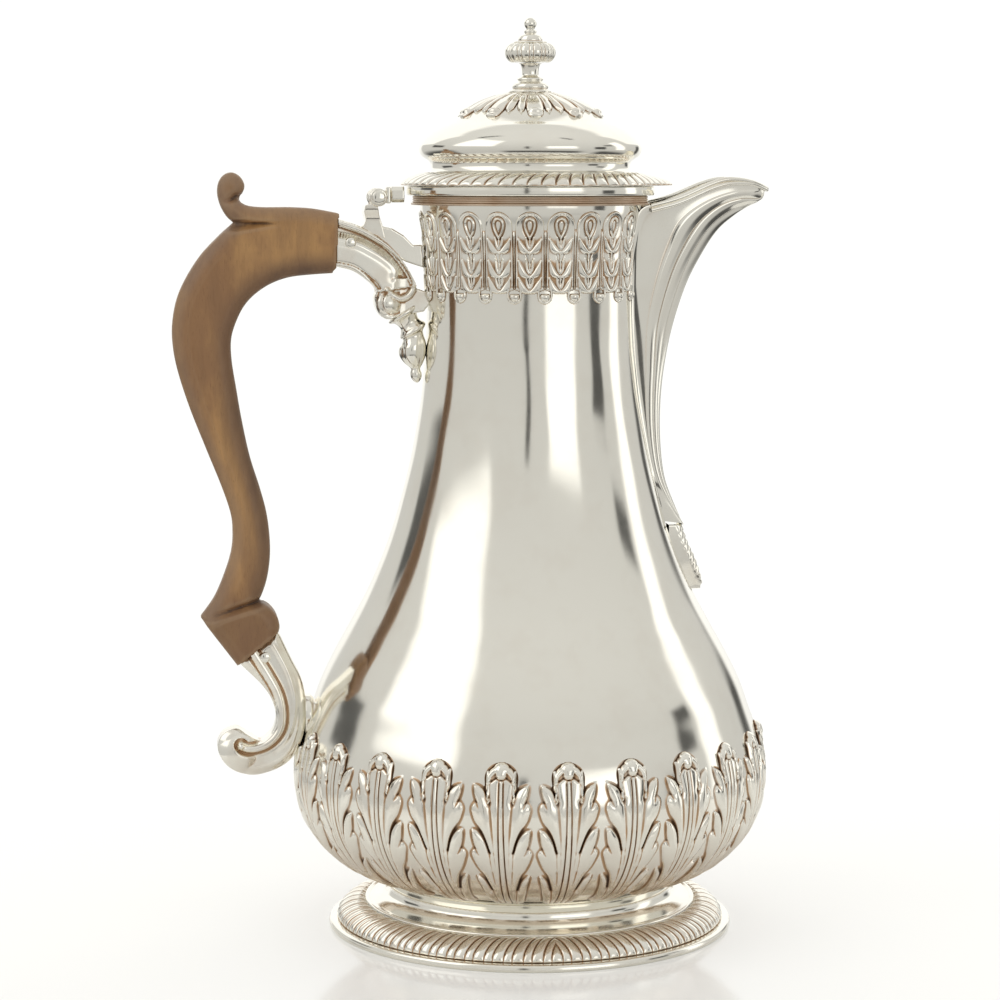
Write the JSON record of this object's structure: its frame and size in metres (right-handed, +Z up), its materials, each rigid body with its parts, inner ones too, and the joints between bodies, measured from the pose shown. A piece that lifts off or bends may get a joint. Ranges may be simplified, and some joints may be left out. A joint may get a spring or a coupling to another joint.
{
  "type": "coffee pot",
  "caption": "Silver coffee pot with a leaf-chased belly, fluted beak spout, hinged domed lid with finial, spreading foot and carved wooden handle.",
  "frame": {"origin": "on the table plane under the middle of the whole object's box; the vessel's own axis stands at x = +0.0194 m", "axes": "+Z up, +X towards the spout, -X towards the handle, Y across the hinge"},
  "size_m": [0.1992, 0.1608, 0.304],
  "materials": {
    "silver_body": "polished silver, softly worn",
    "silver_ornament": "polished silver relief with brown tarnish in the recesses",
    "silver_cast": "cast and chased silver, polished, with tarnish in the corners",
    "handle_wood": "carved fruitwood with a satin wax finish"
  },
  "bodies": {
    "pot": {"body_shell": "silver_body", "leaf_calyx": "silver_ornament", "neck_band": "silver_ornament", "neck_moulding": "silver_body", "rim_ring": "silver_body", "foot_stem": "silver_body", "foot_border": "silver_ornament", "foot_rim": "silver_body", "spout": "silver_body", "spout_rim_wire": "silver_ornament", "spout_drop": "silver_ornament", "handle_wood": "handle_wood", "upper_socket": "silver_cast", "socket_drop": "silver_cast", "lower_socket": "silver_cast", "lower_boss": "silver_cast", "upper_handle_pin": "silver_cast", "lower_handle_pin": "silver_cast", "hinge_bracket": "silver_cast", "hinge_pin": "silver_cast"},
    "lid": {"lid_shell": "silver_body", "lid_flange": "silver_ornament", "lid_bezel": "silver_body", "lid_rosette": "silver_ornament", "lid_hinge_arm": "silver_cast", "finial_base": "silver_cast", "finial_bun": "silver_cast", "finial_top": "silver_cast", "finial_nut": "silver_cast"}
  },
  "joints": [
    {"name": "lid_hinge", "type": "hinge", "parent": "pot", "child": "lid", "pos_m": [-0.0316, 0, 0.2451], "axis": [0, -1, 0], "range_deg": [0, 105]}
  ]
}
